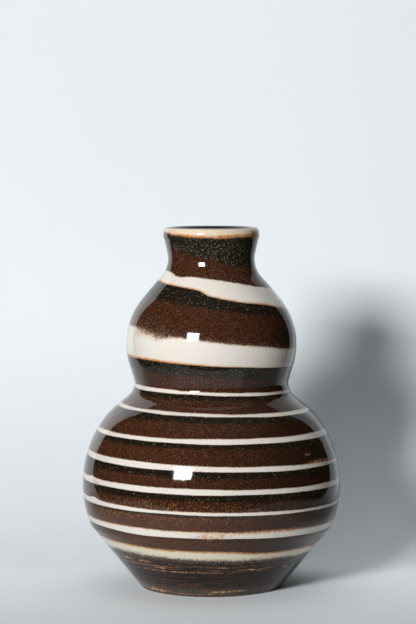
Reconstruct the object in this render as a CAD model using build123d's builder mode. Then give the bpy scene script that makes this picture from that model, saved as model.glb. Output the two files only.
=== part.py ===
from build123d import *
import os
from math import asin, atan2, cos, degrees, radians, sin, sqrt

# Gourd vase thrown from a stack of white, black and brown clay discs, each of which is a ring in the wall.
# Millimetres, +Z up. The origin is the middle of the foot, on the surface that the vase stands on.
# The front is towards -Y, and the layers drop towards +X.

# Outside form: a straight base, then arcs that run into each other, with a straight shoulder under the neck
foot_radius = 37.3
foot_edge = 0.8            # bevel on the foot's outer edge
knee_height = 34.5         # middle of the turn from base to belly
knee_curve = 5.0
belly_radius = 66.6
belly_height = 53.0
belly_curve = 56.3         # radius of the arc seen from the side
waist_curve = 9.5
bulb_radius = 44.0
bulb_rise = 72.0           # from the belly's widest height to the upper bulb's
bulb_curve = 36.8
neck_radius = 22.2
shoulder_length = 18.1     # the straight run between the bulb's arc and the neck's
neck_curve = 8.6
neck_length = 17.2         # from the narrowest height of the neck to the top of the lip
lip_radius = 24.9
lip_bead = 2.9             # half the thickness of the rolled lip
lip_tuck = 30.0            # how far round the lip's roll goes underneath, degrees below level

# Inside form
wall = 4.2
floor_height = 7.0
floor_inset = 0.5          # how far the inside floor's edge lies within the foot's radius
inner_knee_curve = 14.0
inner_knee_lift = 7.0      # the inside turns this much higher than the outside
foot_ring_width = 6.0
foot_recess = 1.5          # turned out under the base, inside the foot ring
recess_flare = 1.0         # slope of the recess's side

# The stack of clay from the foot up: layer, its thickness once thrown, and the lean of its upper face in degrees.
# Throwing draws every layer up alike, so the stack is stretched to fill the height that the form comes to.
clay_stack = [
    ("foot_base", 3.0, 0.8),
    ("foot_white", 2.0, 0.8),
    ("heel_brown", 6.0, 1.0),
    ("heel_black", 4.2, 1.0),
    ("heel_white", 2.0, 1.0),
    ("knee_brown", 2.4, 1.5),
    ("knee_black", 2.8, 1.7),
    ("knee_white", 4.2, 2.3),
    ("hip_brown", 4.6, 1.3),
    ("hip_black", 3.2, 1.3),
    ("hip_white", 3.1, 1.2),
    ("low_belly_brown", 5.9, 0.9),
    ("low_belly_black", 2.7, 0.9),
    ("low_belly_white", 2.0, 1.4),
    ("mid_belly_brown", 5.1, 0.8),
    ("mid_belly_black", 3.1, 0.9),
    ("mid_belly_white", 2.6, 1.0),
    ("high_belly_brown", 5.5, 0.8),
    ("high_belly_black", 3.2, 1.3),
    ("high_belly_white", 2.4, 1.8),
    ("flank_brown", 7.7, 0.7),
    ("flank_black", 2.9, 0.7),
    ("flank_white", 2.2, 0.4),
    ("collar_brown", 7.1, 1.1),
    ("collar_black", 3.0, 1.3),
    ("collar_white", 1.4, 1.4),
    ("waist_brown", 5.7, 1.6),
    ("waist_black", 2.4, 1.7),
    ("waist_white", 1.6, 2.0),
    ("bulb_brown", 7.7, 3.4),
    ("bulb_black", 5.8, 3.7),
    ("bulb_white", 12.2, 7.9),
    ("shoulder_brown", 15.6, 8.0),
    ("shoulder_black", 6.1, 11.1),
    ("shoulder_white", 8.3, 9.4),
    ("rim_brown", 9.3, 13.0),
    ("rim_black", 11.6, 1.6),
    ("rim_white", 4.4, 0.0),
]


def crossing(first, first_distance, second, second_distance):
    """The point at the given distances from two points, on the side away from the pot's axis."""
    span = second - first
    along = (first_distance**2 - second_distance**2 + span.length**2) / (2 * span.length)
    aside = sqrt(first_distance**2 - along**2)
    step = span.normalized()
    return first + step * along + Vector(step.Y, -step.X) * aside


def towards(center, radius, other):
    """The point of a circle that faces another point."""
    return center + (other - center).normalized() * radius


def touch(point, center, radius):
    """Where a line from a point touches a circle, passing to the right of its middle."""
    span = center - point
    angle = atan2(span.Y, span.X) - asin(radius / span.length)
    reach = sqrt(span.length**2 - radius**2)
    return point + Vector(cos(angle), sin(angle)) * reach


def arc(center, radius, start, end):
    """The short arc of a circle from one of its points to another."""
    middle = towards(center, radius, (start + end) * 0.5)
    return ThreePointArc(start, middle, end)


# Middles of the outside arcs, in radius and height
belly_center = Vector(belly_radius - belly_curve, belly_height)
bulb_center = Vector(bulb_radius - bulb_curve, belly_height + bulb_rise)
waist_center = crossing(belly_center, belly_curve + waist_curve, bulb_center, bulb_curve + waist_curve)
knee_reach = belly_curve - knee_curve
knee_center = Vector(belly_center.X + sqrt(knee_reach**2 - (belly_height - knee_height) ** 2), knee_height)
neck_reach = bulb_curve + neck_curve
neck_aside = neck_radius + neck_curve - bulb_center.X
neck_rise = sqrt(neck_reach**2 + shoulder_length**2 - neck_aside**2)
neck_center = Vector(neck_radius + neck_curve, bulb_center.Y + neck_rise)
height = neck_center.Y + neck_length
lip_center = Vector(lip_radius - lip_bead, height - lip_bead)

# The straight shoulder lies square to this direction, which leads from the arcs' middles to its two ends
shoulder_angle = atan2(neck_rise, neck_aside) - atan2(shoulder_length, neck_reach)
shoulder_out = Vector(cos(shoulder_angle), sin(shoulder_angle))

# Points where the outside lines and arcs meet
foot_corner = Vector(foot_radius, foot_edge)
base_top = touch(foot_corner, knee_center, knee_curve)
knee_top = towards(belly_center, belly_curve, knee_center)
belly_top = towards(belly_center, belly_curve, waist_center)
bulb_low = towards(bulb_center, bulb_curve, waist_center)
bulb_top = bulb_center + shoulder_out * bulb_curve
neck_low = neck_center - shoulder_out * neck_curve
lip_under = lip_center + Vector(cos(radians(lip_tuck)), -sin(radians(lip_tuck))) * lip_bead
neck_top = touch(lip_under, neck_center, neck_curve)

# The same points inside, one wall further in, with a wider turn above the floor
inner_belly = belly_curve - wall
inner_waist = waist_curve + wall
inner_bulb = bulb_curve - wall
inner_neck = neck_curve + wall
inner_knee_height = knee_height + inner_knee_lift
inner_knee_reach = inner_belly - inner_knee_curve
inner_knee_side = sqrt(inner_knee_reach**2 - (belly_height - inner_knee_height) ** 2)
inner_knee_center = Vector(belly_center.X + inner_knee_side, inner_knee_height)
floor_corner = Vector(foot_radius - floor_inset, floor_height)
inner_base_top = touch(floor_corner, inner_knee_center, inner_knee_curve)
inner_knee_top = towards(belly_center, inner_belly, inner_knee_center)
inner_belly_top = towards(belly_center, inner_belly, waist_center)
inner_bulb_low = towards(bulb_center, inner_bulb, waist_center)
inner_bulb_top = bulb_center + shoulder_out * inner_bulb
inner_neck_low = neck_center - shoulder_out * inner_neck
lip_inside = lip_center - Vector(lip_bead, 0)
inner_neck_top = touch(lip_inside, neck_center, inner_neck)

# The whole thrown wall, before it is told apart into its layers
recess_radius = foot_radius - foot_ring_width
with BuildPart() as thrown:
    with BuildSketch(Plane.XZ):
        with BuildLine():
            Polyline(
                (0, foot_recess),
                (recess_radius - recess_flare, foot_recess),
                (recess_radius, 0),
                (foot_radius - foot_edge, 0),
                foot_corner,
                base_top,
            )
            arc(knee_center, knee_curve, base_top, knee_top)
            arc(belly_center, belly_curve, knee_top, belly_top)
            arc(waist_center, waist_curve, belly_top, bulb_low)
            arc(bulb_center, bulb_curve, bulb_low, bulb_top)
            Line(bulb_top, neck_low)
            arc(neck_center, neck_curve, neck_low, neck_top)
            Line(neck_top, lip_under)
            ThreePointArc(lip_under, lip_center + Vector(0, lip_bead), lip_inside)
            Line(lip_inside, inner_neck_top)
            arc(neck_center, inner_neck, inner_neck_top, inner_neck_low)
            Line(inner_neck_low, inner_bulb_top)
            arc(bulb_center, inner_bulb, inner_bulb_top, inner_bulb_low)
            arc(waist_center, inner_waist, inner_bulb_low, inner_belly_top)
            arc(belly_center, inner_belly, inner_belly_top, inner_knee_top)
            arc(inner_knee_center, inner_knee_curve, inner_knee_top, inner_base_top)
            Polyline(inner_base_top, floor_corner, (0, floor_height), (0, foot_recess))
        make_face()
    revolve(axis=Axis.Z)


def leaning_plane(level, lean):
    """The face between two layers: at this height on the axis, dropping towards +X."""
    return Plane(origin=(0, 0, level), z_dir=(sin(radians(lean)), 0, cos(radians(lean))))


# The faces between the layers, from the foot up, each with the lean of the layer under it
stretch = height / sum(thickness for name, thickness, lean in clay_stack)
faces_between = []
level = 0.0
for name, thickness, lean in clay_stack[:-1]:
    level += thickness * stretch
    faces_between.append(leaning_plane(level, lean))

# Each layer is the wall between the face under it and the face over it
os.makedirs("parts", exist_ok=True)
for number, (name, thickness, lean) in enumerate(clay_stack):
    with BuildPart() as layer:
        add(thrown.part)
        if number > 0:
            split(bisect_by=faces_between[number - 1], keep=Keep.TOP)
        if number < len(faces_between):
            split(bisect_by=faces_between[number], keep=Keep.BOTTOM)
    layer.part.label = name
    export_step(layer.part, f"parts/{name}.step")

lean_of_base = degrees(atan2(base_top.X - foot_corner.X, base_top.Y - foot_corner.Y))
print(f"height {height:.1f}, belly {2 * belly_radius:.1f} across, waist {2 * (waist_center.X - waist_curve):.1f}")
print(f"base leans out {lean_of_base:.1f} degrees; {len(clay_stack)} layers")
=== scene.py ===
# %% [markdown]
# # A gourd vase thrown from layered clay
# The maker stacked discs of white, black and brown clay, threw the stack as one pot and coated it with a
# clear glaze, so every stripe is a ring of its own clay in the wall. This lesson throws the same wall again
# in Blender, slices it where the measured model says that one clay meets the next, and gives each ring its
# clay and glaze.

# %% Load the measured model
import math

import bmesh
import bpy
import numpy as np
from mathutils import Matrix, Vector


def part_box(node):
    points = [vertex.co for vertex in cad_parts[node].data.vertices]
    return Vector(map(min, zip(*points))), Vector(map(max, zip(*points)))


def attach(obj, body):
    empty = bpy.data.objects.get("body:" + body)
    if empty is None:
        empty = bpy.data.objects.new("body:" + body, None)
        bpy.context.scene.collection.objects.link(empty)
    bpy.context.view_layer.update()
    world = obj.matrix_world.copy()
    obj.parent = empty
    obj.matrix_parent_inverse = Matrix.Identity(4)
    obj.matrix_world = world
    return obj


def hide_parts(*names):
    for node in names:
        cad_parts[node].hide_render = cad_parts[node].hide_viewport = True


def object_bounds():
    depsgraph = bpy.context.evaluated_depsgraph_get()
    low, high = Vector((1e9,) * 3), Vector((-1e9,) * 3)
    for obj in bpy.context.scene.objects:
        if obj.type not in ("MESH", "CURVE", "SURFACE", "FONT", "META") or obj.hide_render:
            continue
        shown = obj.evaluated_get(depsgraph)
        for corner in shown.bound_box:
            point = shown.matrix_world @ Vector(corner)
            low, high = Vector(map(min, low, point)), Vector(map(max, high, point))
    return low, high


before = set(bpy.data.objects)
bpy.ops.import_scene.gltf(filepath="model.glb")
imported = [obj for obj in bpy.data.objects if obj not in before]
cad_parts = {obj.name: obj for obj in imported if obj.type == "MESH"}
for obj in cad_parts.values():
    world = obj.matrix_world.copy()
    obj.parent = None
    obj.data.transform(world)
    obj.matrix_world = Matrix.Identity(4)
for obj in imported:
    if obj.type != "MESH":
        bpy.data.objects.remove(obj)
measured_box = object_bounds()
scene = bpy.context.scene
MM = 0.001
print("layers in the measured model:", len(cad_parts))
print("measured box:", [list(corner) for corner in measured_box])

# %% [markdown]
# ## The camera
# The photograph was taken a little over a metre away with a long lens, from just above the lip: the mouth
# shows as a thin dark line. A long lens keeps the upright sides upright. The vase stands slightly right of
# the middle, so the camera moves aside by the same few pixels instead of turning.

# %% Set up the camera
CAMERA_DISTANCE = 1.165
CAMERA_HEIGHT = 0.2216
CAMERA_ASIDE = -0.00175
LOOK_DOWN = math.radians(3.945)
SENSOR_WIDTH = 36.0
LENS_LENGTH = 130.95
lens = bpy.data.cameras.new("camera")
lens.sensor_width = SENSOR_WIDTH
lens.lens = LENS_LENGTH
camera = bpy.data.objects.new("camera", lens)
camera.location = (CAMERA_ASIDE, -CAMERA_DISTANCE, CAMERA_HEIGHT)
camera.rotation_euler = (math.radians(90) - LOOK_DOWN, 0, 0)
scene.collection.objects.link(camera)
scene.camera = camera
scene.view_settings.view_transform = "Standard"
print("camera at", tuple(camera.location))

# %% [markdown]
# ## Reading the form
# Every corner of the measured solids lies on the pot's true surface, so their heights and radii give the
# outline without typing it again. A straight feeler from the side and one from the axis find the wall at
# each height, and the corners beyond the middle of the wall belong to the outside.

# %% Read the outline off the solids
LIP_ROLL = 2.9                   # half the thickness of the rolled lip, in millimetres
LIP_MIDDLE = (22.0, measured_box[1].z / MM - LIP_ROLL)
FLOOR_HEIGHT = 7.0
FLOOR_RADIUS = 36.8
BASE_SKIN = 2.0                  # how much of the solid base, below the floor, counts as outside
JUST_ABOVE = 0.01
FEELER_ANGLE = 0.3
FEELER = Vector((math.cos(FEELER_ANGLE), math.sin(FEELER_ANGLE), 0))
solids_now = bpy.context.evaluated_depsgraph_get()


def middle_of_wall(height):
    """The radius half way through the wall at a height, in millimetres."""
    level = Vector((0, 0, height * MM))
    outer = scene.ray_cast(solids_now, level + FEELER, -FEELER)[1].xy.length / MM
    if height < FLOOR_HEIGHT:
        return outer - BASE_SKIN
    inner = scene.ray_cast(solids_now, level, FEELER)[1].xy.length / MM
    return (outer + inner) / 2


corners = []
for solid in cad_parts.values():
    for corner in solid.data.vertices:
        corners.append((corner.co.z / MM, corner.co.xy.length / MM))
corners = np.array(sorted(corners))
slices = np.minimum(np.floor(corners[:, 0]).astype(int), int(LIP_MIDDLE[1]))
middles = np.array([middle_of_wall(part + 0.5) for part in range(slices.max() + 1)])
outside_points = corners[corners[:, 1] > middles[slices]]
inside_points = corners[(corners[:, 1] < middles[slices]) & (corners[:, 0] > FLOOR_HEIGHT + JUST_ABOVE)]
print("corners read outside and inside:", len(outside_points), len(inside_points))


def outside_radius(height):
    """The pot's outer radius at a height, in millimetres."""
    return float(np.interp(height, outside_points[:, 0], outside_points[:, 1]))


def inside_radius(height):
    """The hollow's radius at a height, in millimetres."""
    return float(np.interp(height, inside_points[:, 0], inside_points[:, 1]))


CHECKED_HEIGHTS = (10, 53, 97, 125, 168)
for height in CHECKED_HEIGHTS:
    print(f"at {height} mm: outside {outside_radius(height):.2f}, inside {inside_radius(height):.2f}")

# %% [markdown]
# ## Throwing the wall
# A pot is a profile turned about its axis. The profile runs from the middle of the base, round the foot, up
# the outside, over the lip and down the inside to the middle of the floor. Rows lie close together near the
# foot, where a turning tool has left fine lines, and a little under a millimetre apart above. The hand has
# left a crease at the waist and a neck that is straighter than the measured arc, with one throwing ring,
# and that swells out to the lip. Each point also carries two marks, which the spin copies: whether it is on
# the inside of the pot, and whether it is bare clay under the foot.

# %% Lay out the profile
FOOT_PROFILE = ((0.0, 1.5), (10.0, 1.5), (20.0, 1.5), (30.3, 1.5), (31.3, 0.0), (34.0, 0.0), (36.5, 0.0))
FOOT_EDGE = 0.8
TURNED_HEIGHT = 21.0
TURNED_STEP = 0.35
OUTSIDE_STEP = 0.85
INSIDE_STEP = 1.7
LIP_STEPS = 16
LIP_WIDEST = LIP_MIDDLE[1] - 1.9  # the lip hangs over a little, so it is widest under the middle of its roll
LIP_RISE = LIP_MIDDLE[1] + LIP_ROLL - LIP_WIDEST
LIP_SQUARENESS = 0.72            # 1 would leave the lip's outer side round
LINER_STEP = 6                   # the dark liner comes over the top of the lip to this step of its roll
FLOOR_RADII = (FLOOR_RADIUS, 28.0, 19.0, 9.5, 0.0)
WAIST_CREASE = 105.2             # height of the crease between belly and bulb
CREASE_DEPTH = 0.25
CREASE_HALF_HEIGHT = 2.0
RUN_END = 112.0                  # the bulb runs straight down to the crease from this height
LIP_FLARE = 2.5                  # the neck swells out to the lip over about this height
NECK_SOFTENING = (163.0, 6.0, 15.0)  # middle, reach and half height of the neck's evening out
NECK_PRESS = (163.0, 0.8, 4.5)   # middle, depth and half height of the press that straightens the neck
NECK_RING = (166.3, 0.15, 2.0)   # a throwing ring left standing in that press


def hump(place, middle, half_width):
    """A smooth hump: 1 at its middle, and almost nothing two half widths away from it."""
    return math.exp(-(((place - middle) / half_width) ** 2))


def thrown_radius(height):
    """The outer radius as the hand leaves it, in millimetres."""
    pressed = outside_radius(WAIST_CREASE) - CREASE_DEPTH
    if WAIST_CREASE <= height <= RUN_END:
        share = (height - WAIST_CREASE) / (RUN_END - WAIST_CREASE)
        return pressed + share * (outside_radius(RUN_END) - pressed)
    if height < WAIST_CREASE:
        return outside_radius(height) - CREASE_DEPTH * hump(height, WAIST_CREASE, CREASE_HALF_HEIGHT)
    middle, reach, half_height = NECK_SOFTENING
    reach *= max(0.0, 1 - abs(height - middle) / half_height)
    around = [outside_radius(height + reach * share) for share in (-1, -0.5, 0, 0.5, 1)]
    swelling = LIP_MIDDLE[0] + LIP_ROLL - outside_radius(LIP_WIDEST)
    radius = sum(around) / len(around) + swelling * math.exp((height - LIP_WIDEST) / LIP_FLARE)
    for (middle, depth, half_height), side in ((NECK_PRESS, -1), (NECK_RING, 1)):
        radius += side * depth * hump(height, middle, half_height)
    return radius


profile = [(radius, height, 0.0, 1.0) for radius, height in FOOT_PROFILE]
for height in np.arange(FOOT_EDGE, TURNED_HEIGHT, TURNED_STEP):
    profile.append((thrown_radius(height), float(height), 0.0, 0.0))
for height in np.arange(TURNED_HEIGHT, LIP_WIDEST - OUTSIDE_STEP / 2, OUTSIDE_STEP):
    profile.append((thrown_radius(height), float(height), 0.0, 0.0))
for step in range(LIP_STEPS + 1):
    turn = math.pi * step / LIP_STEPS
    across = math.cos(turn)
    up = math.sin(turn)
    lined = 1.0 if step >= LINER_STEP else 0.0
    if across > 0:
        radius = LIP_MIDDLE[0] + LIP_ROLL * across**LIP_SQUARENESS
        height = LIP_WIDEST + LIP_RISE * up**LIP_SQUARENESS
    else:
        radius = LIP_MIDDLE[0] + LIP_ROLL * across
        height = LIP_MIDDLE[1] + LIP_ROLL * up
    profile.append((radius, height, lined, 0.0))
for height in np.arange(LIP_MIDDLE[1] - INSIDE_STEP, FLOOR_HEIGHT + INSIDE_STEP / 2, -INSIDE_STEP):
    profile.append((inside_radius(height), float(height), 1.0, 0.0))
for radius in FLOOR_RADII:
    profile.append((radius, FLOOR_HEIGHT, 1.0, 0.0))
print("points in the profile:", len(profile))

# %% Spin the profile into a wall
AROUND = 192
SAME_PLACE = 1e-6         # points this near to each other, in metres, are one
wall = bmesh.new()
inside_mark = wall.verts.layers.float.new("inside")
bare_mark = wall.verts.layers.float.new("bare")
drawn = []
for radius, height, inside, bare in profile:
    point = wall.verts.new((radius * MM, 0, height * MM))
    point[inside_mark] = inside
    point[bare_mark] = bare
    drawn.append(point)
for start, end in zip(drawn, drawn[1:]):
    wall.edges.new((start, end))
bmesh.ops.spin(
    wall,
    geom=wall.verts[:] + wall.edges[:],
    cent=(0, 0, 0),
    axis=(0, 0, 1),
    angle=2 * math.pi,
    steps=AROUND,
    use_merge=True,
)
bmesh.ops.remove_doubles(wall, verts=wall.verts[:], dist=SAME_PLACE)
bmesh.ops.recalc_face_normals(wall, faces=wall.faces[:])
print("faces in the thrown wall:", len(wall.faces))

# %% [markdown]
# ## The hand in it
# No thrown pot is a perfect solid of revolution. Fingers leave it a few tenths of a millimetre out of round
# and press a shallow line under the waist, and the turning tool cuts fine grooves above the foot. All are
# moves of the wall's points, always inwards, so the pot keeps its measured size.

# %% Move the wall's points a little
GROOVES = (               # height, depth and half width in millimetres
    (3.4, 0.10, 0.45),
    (6.6, 0.07, 0.40),
    (8.9, 0.10, 0.50),
    (11.4, 0.08, 0.40),
    (13.2, 0.10, 0.40),
    (15.4, 0.14, 0.45),
    (17.2, 0.14, 0.45),
    (19.2, 0.08, 0.40),
)
GROOVE_SWAY = 0.25
GROOVE_PRESSURE = 0.6
PRESSURE_SWING = 0.4
GROOVES_TOP = TURNED_HEIGHT + 2.0
LOBES = (                 # count, depth and start, and the height in millimetres over which they twist
    (2, 0.14, 0.9, 38.0),
    (3, 0.08, 2.2, -27.0),
)
FINGER_LINE = (96.5, 0.9, 5.5)   # height, depth and half width in millimetres
AXIS_CLEARANCE = 5.0             # the points nearest to the axis stay where they are


def front_angle(point):
    """The angle round the pot: 0 at the front, positive towards the right."""
    return math.atan2(point.x, -point.y)


def out_of_round(angle, height):
    """How far the hand has left the wall inside a true circle, in millimetres."""
    inside = 0.0
    for count, depth, start, twist in LOBES:
        inside += depth * (0.5 + 0.5 * math.sin(count * angle + start + height / twist))
    return inside


def finger_line(height):
    """How far a finger has pressed in the belly's top, under the waist, in millimetres."""
    middle, depth, half_width = FINGER_LINE
    return depth * hump(height, middle, half_width)


def groove_depth(angle, height):
    """How deep the turning tool has cut at this place, in millimetres."""
    depth = 0.0
    for middle, deepest, half_width in GROOVES:
        level = middle + GROOVE_SWAY * math.sin(angle + middle)
        pressure = GROOVE_PRESSURE + PRESSURE_SWING * math.sin(2 * angle + 3 * middle)
        depth += pressure * deepest * hump(height, level, half_width)
    return depth


for point in wall.verts:
    radius = math.hypot(point.co.x, point.co.y) / MM
    if radius < AXIS_CLEARANCE:
        continue
    angle = front_angle(point.co)
    height = point.co.z / MM
    inwards = out_of_round(angle, height)
    if point[inside_mark] == 0 and point[bare_mark] == 0:
        inwards += finger_line(height)
        if height < GROOVES_TOP:
            inwards += groove_depth(angle, height)
    point.co.x *= 1 - inwards / radius
    point.co.y *= 1 - inwards / radius
print("hand marks pressed into", len(wall.verts), "points")

# %% [markdown]
# ## Where the clays meet
# The discs were never quite level, so the faces between the layers lean, and they drop towards the right. A
# face's highest point is the top of the layer under it, and its lowest point is the bottom of the layer
# over it. Those two heights and the pot's radius there give its level on the axis and its slope.

# %% Find the faces between the layers
layer_names = sorted(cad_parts, key=lambda name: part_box(name)[0].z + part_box(name)[1].z)
faces_between = []
for under, over in zip(layer_names, layer_names[1:]):
    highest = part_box(under)[1].z / MM
    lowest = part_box(over)[0].z / MM
    high_radius = outside_radius(highest)
    low_radius = outside_radius(lowest)
    slope = (highest - lowest) / (high_radius + low_radius)
    faces_between.append((lowest + low_radius * slope, slope))
for name, (level, slope) in zip(layer_names, faces_between):
    print(f"{name}: top at {level:.2f} mm, leaning {math.degrees(math.atan(slope)):.2f} degrees")

# %% [markdown]
# ## How the clays run into each other
# White lies sharply on black. Black fades into the brown below it within a millimetre or two. Brown meets
# the white below it with a soft, crumbly edge, and iron has bled out of it into the white as a thin rust
# line. Each face between two layers therefore has a fuzz, in millimetres, and an amount of rust. The values
# are for the layer under the face. At the left, the top of the bulb's white band is brushed out softly.

# %% Say how soft and how rusty each meeting is
PLAIN_FUZZ = {"white": 0.30, "black": 0.20, "brown": 1.0, "base": 0.5}
PLAIN_RUST = {"white": 0.14, "black": 0.04, "brown": 0.0, "base": 0.0}
SPECIAL_FUZZ = {
    "bulb_white": 0.85,
    "shoulder_white": 0.45,
    "hip_white": 0.55,
    "knee_white": 0.5,
    "knee_black": 1.7,
    "rim_black": 0.75,
    "rim_brown": 1.5,
    "shoulder_brown": 1.3,
    "bulb_brown": 1.8,
}
SPECIAL_RUST = {
    "rim_black": 1.45,
    "shoulder_black": 0.9,
    "bulb_black": 0.9,
    "bulb_white": 0.25,
    "shoulder_white": 0.1,
    "hip_white": 0.4,
    "knee_white": 0.75,
    "knee_black": 0.0,
}
RUST_LEANS = {            # share of the rust at the front, and how much it gains towards the right
    "rim_black": (0.82, 0.45),
    "shoulder_black": (0.6, 0.0),
    "bulb_black": (0.55, -0.45),
}
SOFT_PLACES = {           # angle and half width in degrees, and how much fuzz is added there, in millimetres
    "bulb_white": (-47.0, 17.0, 2.0),
}


def meeting(under, angle):
    """The fuzz and the rust of the face on top of a layer, at an angle round the pot."""
    kind = under.split("_")[-1]
    fuzz = SPECIAL_FUZZ.get(under, PLAIN_FUZZ[kind])
    if under in SOFT_PLACES:
        place, half_width, more = SOFT_PLACES[under]
        fuzz += more * hump(math.degrees(angle), place, half_width)
    rust = SPECIAL_RUST.get(under, PLAIN_RUST[kind])
    share, lean = RUST_LEANS.get(under, (1.0, 0.0))
    return fuzz, rust * (share + lean * math.sin(angle))


print("at the front, bulb_white meets brown with fuzz and rust", meeting("bulb_white", 0.0))

# %% Let the edges wander as the photograph shows
STEPS_IN_EDGES = {        # angle and half width in degrees, and the drop to the right in millimetres
    "shoulder_black": (-7.0, 2.5, 1.3),
}
BUMPS_ON_EDGES = {        # angle and half width in degrees, and height in millimetres
    "foot_base": ((0.0, 400.0, -1.2),),
    "foot_white": ((0.0, 400.0, -1.4),),
    "heel_black": ((0.0, 60.0, -0.8),),
    "heel_white": ((0.0, 60.0, -0.8),),
    "rim_black": ((-75.0, 30.0, 1.5), (60.0, 50.0, 1.0)),
    "shoulder_white": ((-40.0, 15.0, -1.75), (17.0, 16.0, 0.5), (20.0, 50.0, -0.4)),
    "shoulder_black": ((0.0, 400.0, 0.6), (-22.0, 18.0, 0.65), (45.0, 15.0, 1.0)),
    "shoulder_brown": ((10.0, 60.0, 0.35),),
    "bulb_white": ((-40.0, 14.0, -2.6), (-6.0, 15.0, -0.5), (38.0, 15.0, 0.5)),
    "flank_brown": ((0.0, 90.0, 0.5), (55.0, 14.0, -0.8)),
    "high_belly_brown": ((55.0, 14.0, -1.4),),
    "mid_belly_brown": ((55.0, 16.0, -0.9),),
    "low_belly_brown": ((-40.0, 60.0, 1.9),),
    "hip_brown": ((-40.0, 70.0, 2.0),),
    "low_belly_white": ((-63.0, 4.0, 1.0), (-40.0, 30.0, -0.6), (5.0, 30.0, -0.3)),
    "mid_belly_white": ((-66.0, 3.0, 0.6),),
    "hip_white": ((2.0, 9.0, 0.4),),
    "hip_black": ((-30.0, 20.0, -0.5),),
    "knee_white": ((5.0, 10.0, 0.5), (28.0, 10.0, -0.6)),
    "knee_black": ((-20.0, 15.0, -0.4), (30.0, 12.0, 0.3)),
}
SAG = 0.26                # every edge hangs a little under the flat cut, in millimetres
EDGE_WAVES = ((0.11, 2, 1.7), (0.09, 5, 2.9), (0.06, 11, 4.1))  # height, count, and shift from face to face


def wander(number, angle):
    """How far a face between two layers strays from flat at an angle, in millimetres."""
    under = layer_names[number]
    away = -SAG
    for height, count, shift in EDGE_WAVES:
        away += height * math.sin(count * angle + shift * number)
    if under in STEPS_IN_EDGES:
        place, half_width, drop = STEPS_IN_EDGES[under]
        away -= 0.5 * drop * math.tanh((math.degrees(angle) - place) / half_width)
    for place, half_width, rise in BUMPS_ON_EDGES.get(under, ()):
        away += rise * hump(math.degrees(angle), place, half_width)
    return away


stepped = layer_names.index("shoulder_black")
step_ends = (wander(stepped, -0.4), wander(stepped, 0.3))
print(f"the white shoulder's lower edge steps from {step_ends[0]:.2f} to {step_ends[1]:.2f} mm")

# %% [markdown]
# ## Smears
# In a few places a finger dragged one clay over the next and iron stained it: at the right end of one belly
# line, in a crumbly patch on the line above the hip, at the left of the bulb's white band and at the right
# end of the lip. The dark smear at the right end of the lip is partly that stain and partly painted shade.
# The turning tool has dragged pale clay into long thin strokes above the foot and chipped the foot's edge. A
# smear is a soft spot on the wall, given by its angle, height and size.

# %% List the smears
SMEARS = (                # angle, height, half width in degrees, half height in millimetres, strength
    (58.0, 68.7, 10.0, 0.8, 0.9),
    (50.0, 73.0, 1.8, 0.5, 0.7),
    (0.5, 35.4, 8.0, 1.7, 1.0),
    (26.0, 36.7, 22.0, 0.7, 0.9),
    (-62.0, 57.4, 3.0, 1.2, 0.6),
    (-55.0, 132.6, 9.0, 2.1, 0.6),
    (-42.0, 132.0, 10.0, 1.3, 0.35),
    # the smear at the lip's right end: partly iron stain, partly painted shade on that end
    (64.0, 181.6, 11.0, 2.4, 0.85),
    (-6.0, 153.2, 4.0, 0.5, 0.9),
    (-37.0, 17.0, 15.0, 0.30, 0.8),
    (-17.0, 14.4, 31.0, 0.32, 0.8),
    (27.0, 15.5, 9.0, 0.30, 0.7),
    (36.0, 16.0, 5.0, 0.60, 0.4),
    (-47.0, 2.1, 14.0, 0.80, 1.0),
    (-24.0, 1.5, 20.0, 0.30, 0.7),
    (12.0, 3.2, 15.0, 0.50, 0.9),
)


def smear_at(angle, height):
    """How smeared the clay is at a place on the wall, from 0 to 1."""
    most = 0.0
    for middle, level, half_width, half_height, strength in SMEARS:
        across = (math.degrees(angle) - middle) / half_width
        along = (height - level) / half_height
        most = max(most, strength * math.exp(-((across**2 + along**2) ** 2)))
    return most


print("smears:", len(SMEARS))

# %% [markdown]
# ## Building the clays in nodes
# Each clay is a node group that gives a colour for a place on the pot, so that a ring can also show a
# little of its neighbours where they creep over its edge. Small helpers put a node into a tree, do sums
# with values, mix two colours and start a group with named sockets. Places and heights in the groups are in
# millimetres.

# %% Helpers for shader nodes
def place_node(tree, kind, sockets=None, **options):
    """Puts a node in a tree, sets its options, and fills its sockets with values or links."""
    made = tree.nodes.new(kind)
    for option, value in options.items():
        setattr(made, option, value)
    for name, value in (sockets or {}).items():
        if isinstance(value, bpy.types.NodeSocket):
            tree.links.new(value, made.inputs[name])
        else:
            made.inputs[name].default_value = value
    return made


def work_out(tree, operation, first, second=0.0, third=0.0):
    """One step of arithmetic."""
    sockets = {0: first, 1: second, 2: third}
    return place_node(tree, "ShaderNodeMath", sockets, operation=operation).outputs[0]


def times(tree, first, second):
    """The product of two values."""
    return work_out(tree, "MULTIPLY", first, second)


def sides_of(tree, vector):
    """The x, y and z of a vector."""
    return place_node(tree, "ShaderNodeSeparateXYZ", {0: vector}).outputs


def work_out_vector(tree, operation, first, second=(0, 0, 0)):
    """One step of arithmetic with vectors."""
    return place_node(tree, "ShaderNodeVectorMath", {0: first, 1: second}, operation=operation).outputs[0]


def ramp_between(tree, value, start, end, top=1.0):
    """A smooth rise from 0 at start to the top at end."""
    sockets = {"Value": value, "From Min": start, "From Max": end, "To Max": top}
    return place_node(tree, "ShaderNodeMapRange", sockets, interpolation_type="SMOOTHSTEP").outputs[0]


def band_between(tree, value, band, top=1.0):
    """A smooth rise and fall. The band says where it starts, is full, begins to fade and ends."""
    start, full, fading, end = band
    return times(tree, ramp_between(tree, value, start, full, top), ramp_between(tree, value, end, fading))


def mix_colours(tree, share, first, second):
    """The first colour with a share of the second over it."""
    sockets = {0: share, 6: first, 7: second}
    return place_node(tree, "ShaderNodeMix", sockets, data_type="RGBA").outputs[2]


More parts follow.
